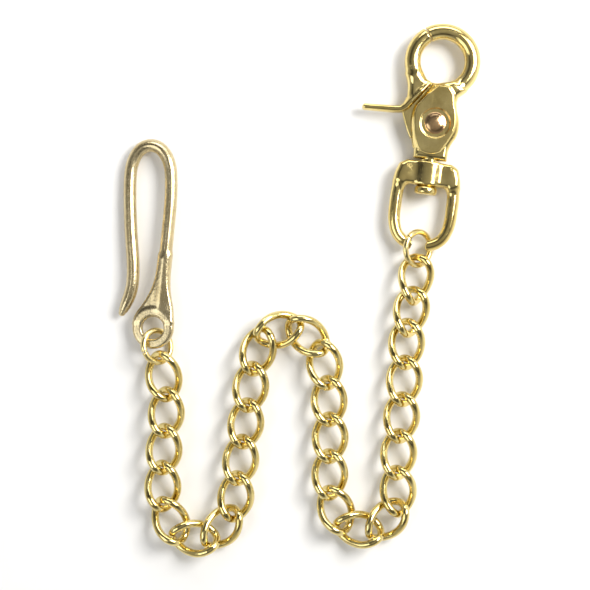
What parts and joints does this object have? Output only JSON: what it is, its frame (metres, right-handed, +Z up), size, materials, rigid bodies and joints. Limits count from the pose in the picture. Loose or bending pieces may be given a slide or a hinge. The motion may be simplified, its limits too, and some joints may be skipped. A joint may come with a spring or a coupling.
{
  "type": "pocket watch chain",
  "caption": "Twisted curb chain with a belt hook on a jump ring at one end and a swivelling trigger snap at the other.",
  "frame": {"origin": "under the middle of the laid-out chain's bounding box, on the surface it lies on", "axes": "+X across the runs, +Y along the runs towards the snap's eye, +Z up off the surface"},
  "size_m": [0.1356, 0.1972, 0.01],
  "materials": {
    "chain_brass": "polished",
    "ring_brass": "satin",
    "hook_brass": "satin, fine grain",
    "snap_brass": "polished casting",
    "rivet_brass": "polished, coppery",
    "spring_steel": "plain wire"
  },
  "bodies": {
    "link_01": {"link_01": "chain_brass"},
    "link_02": {"link_02": "chain_brass"},
    "link_03": {"link_03": "chain_brass"},
    "link_04": {"link_04": "chain_brass"},
    "link_05": {"link_05": "chain_brass"},
    "link_06": {"link_06": "chain_brass"},
    "link_07": {"link_07": "chain_brass"},
    "link_08": {"link_08": "chain_brass"},
    "link_09": {"link_09": "chain_brass"},
    "link_10": {"link_10": "chain_brass"},
    "link_11": {"link_11": "chain_brass"},
    "link_12": {"link_12": "chain_brass"},
    "link_13": {"link_13": "chain_brass"},
    "link_14": {"link_14": "chain_brass"},
    "link_15": {"link_15": "chain_brass"},
    "link_16": {"link_16": "chain_brass"},
    "link_17": {"link_17": "chain_brass"},
    "link_18": {"link_18": "chain_brass"},
    "link_19": {"link_19": "chain_brass"},
    "link_20": {"link_20": "chain_brass"},
    "link_21": {"link_21": "chain_brass"},
    "link_22": {"link_22": "chain_brass"},
    "link_23": {"link_23": "chain_brass"},
    "link_24": {"link_24": "chain_brass"},
    "link_25": {"link_25": "chain_brass"},
    "link_26": {"link_26": "chain_brass"},
    "link_27": {"link_27": "chain_brass"},
    "link_28": {"link_28": "chain_brass"},
    "hook_ring": {"hook_ring": "ring_brass"},
    "belt_hook": {"belt_hook": "hook_brass"},
    "snap_ring": {"snap_ring": "ring_brass"},
    "swivel_eye": {"swivel_eye": "snap_brass"},
    "snap_body": {"snap_body": "snap_brass", "gate_rivet": "rivet_brass", "gate_spring": "spring_steel"},
    "gate": {"gate": "snap_brass"}
  },
  "joints": [
    {"name": "hook_swing", "type": "hinge", "parent": "hook_ring", "child": "belt_hook", "pos_m": [-0.05314, -0.01533, 0.005], "axis": [0, 0, 1], "range_deg": [-20, 24]},
    {"name": "gate_pivot", "type": "hinge", "parent": "snap_body", "child": "gate", "pos_m": [0.05069, 0.06135, 0.005], "axis": [0, 0, 1], "range_deg": [0, 28], "stiffness_Nm_per_rad": 0.02, "springref_deg": -20.05},
    {"name": "eye_swivel", "type": "hinge", "parent": "swivel_eye", "child": "snap_body", "pos_m": [0.05069, 0.06135, 0.005], "axis": [0.1305, 0.9914, 0], "continuous": true},
    {"name": "loop_slide", "type": "hinge", "parent": "snap_ring", "child": "swivel_eye", "pos_m": [0.04465, 0.0153, 0.005], "axis": [0.6259, -0.0658, 0.7771], "range_deg": [0, 24]},
    {"name": "ring_link_01_bend", "type": "hinge", "parent": "link_01", "child": "hook_ring", "pos_m": [-0.05103, -0.02528, 0.005], "axis": [0, 0, -1], "range_deg": [-20, 20]},
    {"name": "link_01_02_bend", "type": "hinge", "parent": "link_02", "child": "link_01", "pos_m": [-0.0482, -0.03859, 0.005], "axis": [0, 0, 1], "range_deg": [-20, 16]},
    {"name": "link_02_03_bend", "type": "hinge", "parent": "link_03", "child": "link_02", "pos_m": [-0.04891, -0.05219, 0.005], "axis": [0, 0, -1], "range_deg": [-20, 20]},
    {"name": "link_03_04_bend", "type": "hinge", "parent": "link_04", "child": "link_03", "pos_m": [-0.04986, -0.0658, 0.005], "axis": [0, 0, 1], "range_deg": [-20, 20]},
    {"name": "link_04_05_bend", "type": "hinge", "parent": "link_05", "child": "link_04", "pos_m": [-0.04986, -0.07933, 0.005], "axis": [0, 0, 1], "range_deg": [0, 36]},
    {"name": "link_05_06_bend", "type": "hinge", "parent": "link_06", "child": "link_05", "pos_m": [-0.04439, -0.09107, 0.005], "axis": [0, 0, 1], "range_deg": [0, 36]},
    {"name": "link_06_07_bend", "type": "hinge", "parent": "link_07", "child": "link_06", "pos_m": [-0.03203, -0.09281, 0.005], "axis": [0, 0, 1], "range_deg": [0, 36]},
    {"name": "link_07_08_bend", "type": "hinge", "parent": "link_08", "child": "link_07", "pos_m": [-0.0236, -0.08311, 0.005], "axis": [0, 0, 1], "range_deg": [0, 36]},
    {"name": "link_08_09_bend", "type": "hinge", "parent": "link_09", "child": "link_08", "pos_m": [-0.02196, -0.06976, 0.005], "axis": [0, 0, -1], "range_deg": [-20, 20]},
    {"name": "link_09_10_bend", "type": "hinge", "parent": "link_10", "child": "link_09", "pos_m": [-0.02006, -0.05625, 0.005], "axis": [0, 0, 1], "range_deg": [-20, 20]},
    {"name": "link_10_11_bend", "type": "hinge", "parent": "link_11", "child": "link_10", "pos_m": [-0.01816, -0.04273, 0.005], "axis": [0, 0, -1], "range_deg": [-20, 20]},
    {"name": "link_11_12_bend", "type": "hinge", "parent": "link_12", "child": "link_11", "pos_m": [-0.0165, -0.0292, 0.005], "axis": [0, 0, 1], "range_deg": [-20, 16]},
    {"name": "link_12_13_bend", "type": "hinge", "parent": "link_13", "child": "link_12", "pos_m": [-0.0129, -0.01665, 0.005], "axis": [0, 0, -1], "range_deg": [0, 36]},
    {"name": "link_13_14_bend", "type": "hinge", "parent": "link_14", "child": "link_13", "pos_m": [-0.00097, -0.01301, 0.005], "axis": [0, 0, -1], "range_deg": [0, 36]},
    {"name": "link_14_15_bend", "type": "hinge", "parent": "link_14", "child": "link_15", "pos_m": [0.00882, -0.02123, 0.005], "axis": [0, 0, 1], "range_deg": [0, 36]},
    {"name": "link_15_16_bend", "type": "hinge", "parent": "link_15", "child": "link_16", "pos_m": [0.01137, -0.03435, 0.005], "axis": [0, 0, -1], "range_deg": [-20, 20]},
    {"name": "link_16_17_bend", "type": "hinge", "parent": "link_16", "child": "link_17", "pos_m": [0.01209, -0.04796, 0.005], "axis": [0, 0, 1], "range_deg": [-20, 20]},
    {"name": "link_17_18_bend", "type": "hinge", "parent": "link_17", "child": "link_18", "pos_m": [0.01209, -0.06161, 0.005], "axis": [0, 0, -1], "range_deg": [-20, 20]},
    {"name": "link_18_19_bend", "type": "hinge", "parent": "link_18", "child": "link_19", "pos_m": [0.01185, -0.07517, 0.005], "axis": [0, 0, -1], "range_deg": [0, 36]},
    {"name": "link_19_20_bend", "type": "hinge", "parent": "link_19", "child": "link_20", "pos_m": [0.0165, -0.08729, 0.005], "axis": [0, 0, -1], "range_deg": [0, 36]},
    {"name": "link_20_21_bend", "type": "hinge", "parent": "link_20", "child": "link_21", "pos_m": [0.02871, -0.08988, 0.005], "axis": [0, 0, -1], "range_deg": [0, 36]},
    {"name": "link_21_22_bend", "type": "hinge", "parent": "link_21", "child": "link_22", "pos_m": [0.03765, -0.08094, 0.005], "axis": [0, 0, -1], "range_deg": [0, 36]},
    {"name": "link_22_23_bend", "type": "hinge", "parent": "link_22", "child": "link_23", "pos_m": [0.03696, -0.06773, 0.005], "axis": [0, 0, 1], "range_deg": [-20, 16]},
    {"name": "link_23_24_bend", "type": "hinge", "parent": "link_23", "child": "link_24", "pos_m": [0.03791, -0.05412, 0.005], "axis": [0, 0, -1], "range_deg": [-20, 20]},
    {"name": "link_24_25_bend", "type": "hinge", "parent": "link_24", "child": "link_25", "pos_m": [0.0391, -0.04052, 0.005], "axis": [0, 0, 1], "range_deg": [-20, 20]},
    {"name": "link_25_26_bend", "type": "hinge", "parent": "link_25", "child": "link_26", "pos_m": [0.04005, -0.02691, 0.005], "axis": [0, 0, -1], "range_deg": [-20, 20]},
    {"name": "link_26_27_bend", "type": "hinge", "parent": "link_26", "child": "link_27", "pos_m": [0.04072, -0.01409, 0.005], "axis": [0, 0, 1], "range_deg": [-20, 20]},
    {"name": "link_27_28_bend", "type": "hinge", "parent": "link_27", "child": "link_28", "pos_m": [0.04281, -0.00223, 0.005], "axis": [0, 0, -1], "range_deg": [-20, 20]},
    {"name": "link_28_ring_bend", "type": "hinge", "parent": "link_28", "child": "snap_ring", "pos_m": [0.04415, 0.01055, 0.005], "axis": [0, 0, 1], "range_deg": [-16, 16]}
  ]
}
